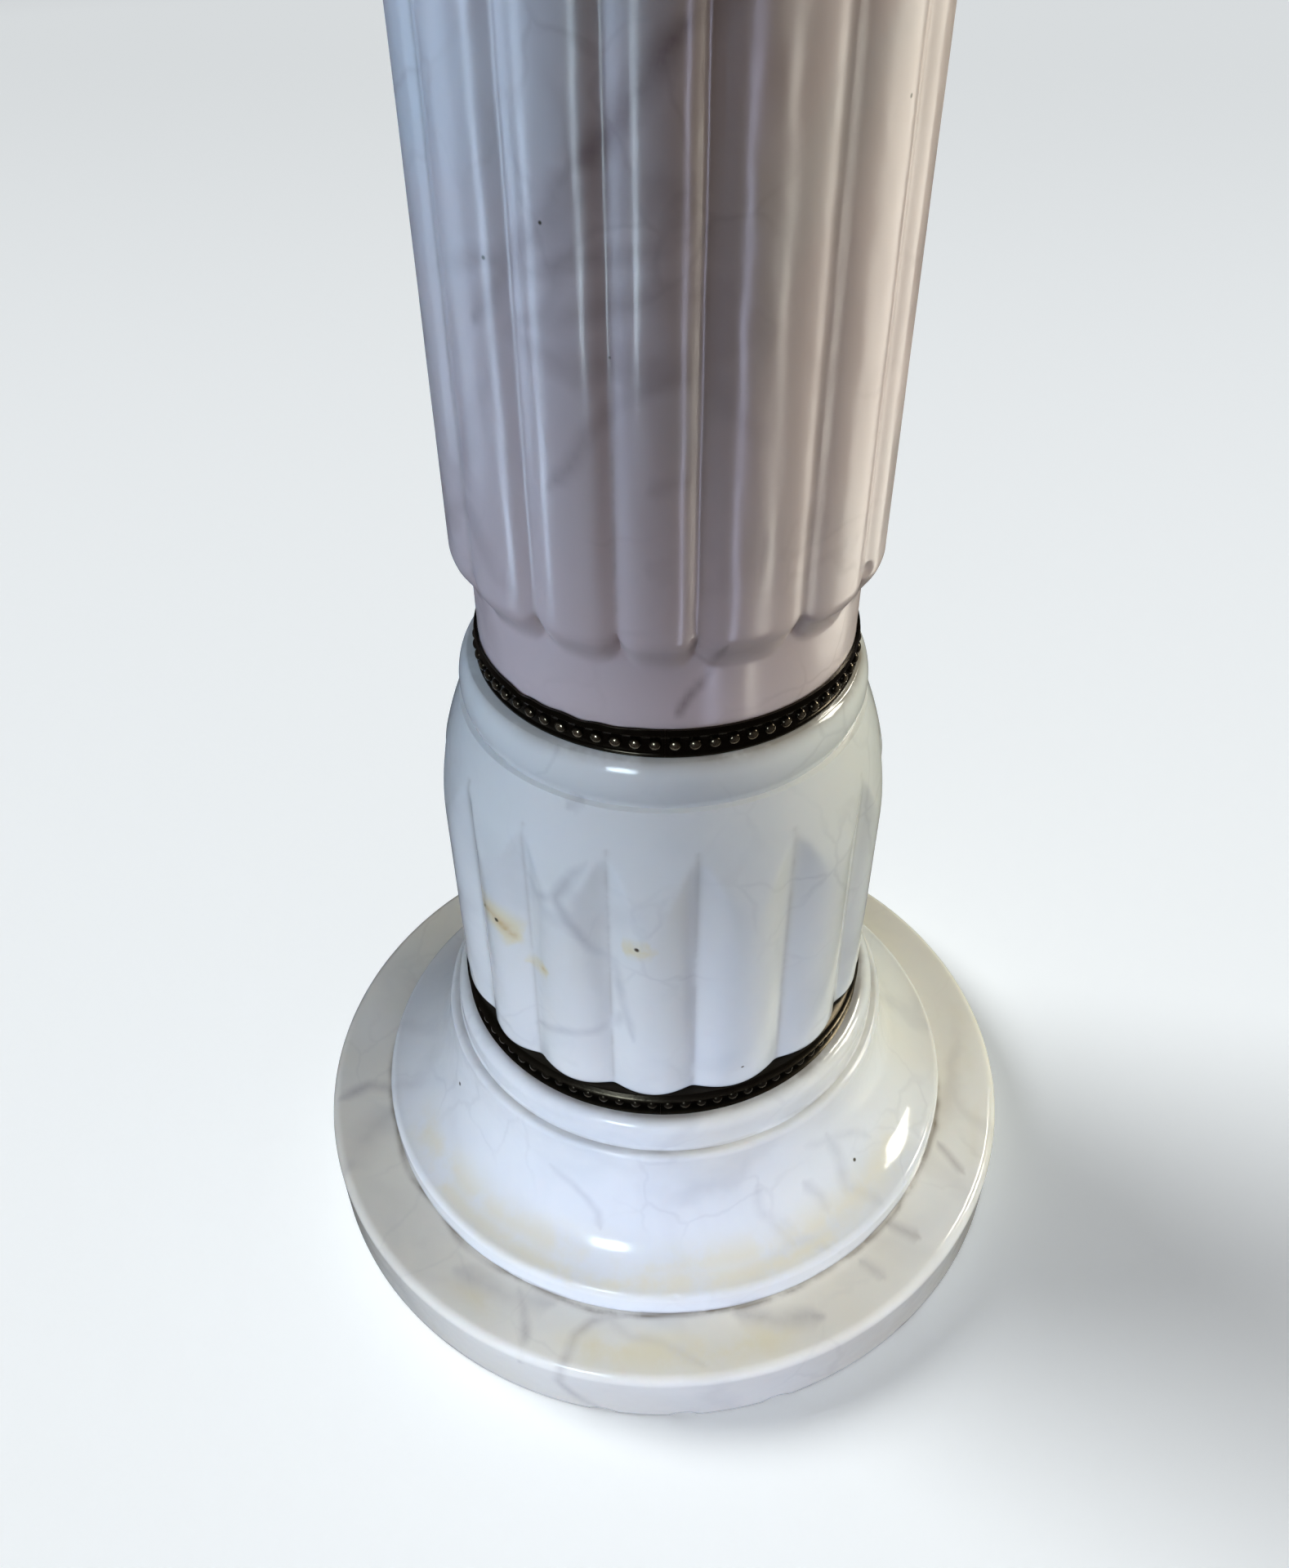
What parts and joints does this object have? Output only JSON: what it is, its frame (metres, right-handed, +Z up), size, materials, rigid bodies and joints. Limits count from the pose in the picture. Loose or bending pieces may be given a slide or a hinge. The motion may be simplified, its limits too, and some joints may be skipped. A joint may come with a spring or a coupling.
{
  "type": "pedestal column",
  "caption": "Round veined stone display pedestal: disc base, bell, lobed drum, reeded shaft, flared capital and top disc, with beaded brass rings at the necks.",
  "frame": {"origin": "centre of the underside, on the surface that the pedestal stands on", "axes": "+Z up along the column; -Y is the front that the picture shows"},
  "size_m": [0.2804, 0.2804, 1],
  "materials": {
    "base_disc": "polished off-white stone with grey veins",
    "base_bell": "polished off-white stone with grey veins",
    "lobed_drum": "polished off-white stone with ochre stains",
    "reeded_shaft": "polished off-white stone with brown veins",
    "capital": "polished off-white stone with grey veins",
    "top_disc": "polished off-white stone with grey veins",
    "foot_beaded_ring": "dark oxidised brass with worn beads",
    "neck_beaded_ring": "dark oxidised brass with worn beads",
    "capital_beaded_ring": "dark oxidised brass with worn beads"
  },
  "bodies": {
    "root": {"base_disc": "base_disc", "base_bell": "base_bell", "foot_beaded_ring": "foot_beaded_ring", "lobed_drum": "lobed_drum", "neck_beaded_ring": "neck_beaded_ring", "reeded_shaft": "reeded_shaft", "capital_beaded_ring": "capital_beaded_ring", "capital": "capital", "top_disc": "top_disc"}
  },
  "joints": []
}
